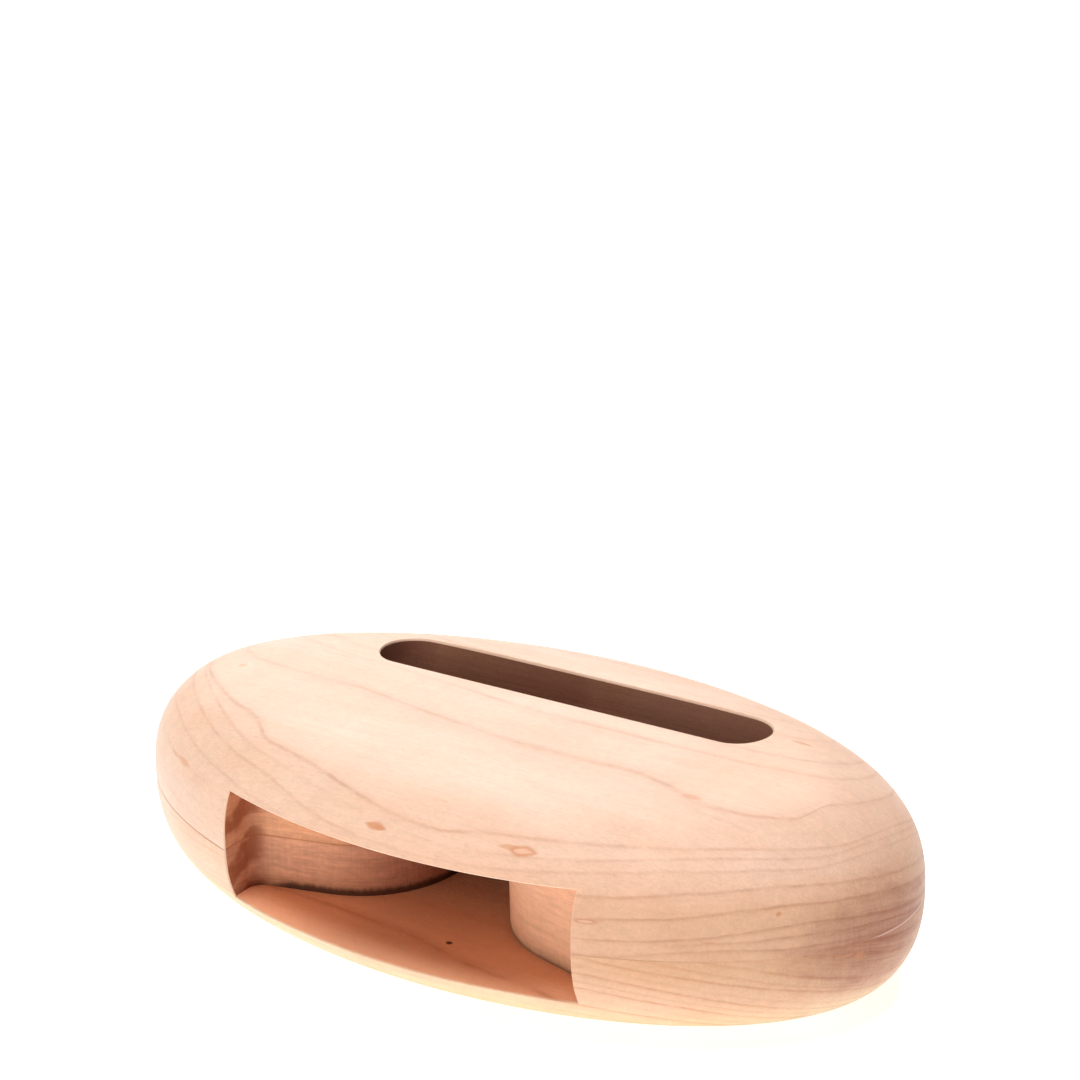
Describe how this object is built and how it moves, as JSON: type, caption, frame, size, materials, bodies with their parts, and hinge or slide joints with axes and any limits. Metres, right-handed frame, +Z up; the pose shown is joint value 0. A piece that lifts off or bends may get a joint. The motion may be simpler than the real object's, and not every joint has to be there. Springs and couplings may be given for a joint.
{
  "type": "phone stand",
  "caption": "Rounded oval wooden phone stand with a leaning slot in its top and a flared sound horn that opens at the front.",
  "frame": {"origin": "centre of the flat base, on the surface that the stand rests on", "axes": "+X to the right along the body's length, +Y to the back away from the horn's mouth, +Z up; the phone's screen faces -Y"},
  "size_m": [0.162, 0.0924, 0.0381],
  "materials": {
    "lower_board_wood": "satin oiled",
    "upper_board_wood": "satin oiled"
  },
  "bodies": {
    "root": {"lower_board": "lower_board_wood", "upper_board": "upper_board_wood"}
  },
  "joints": []
}
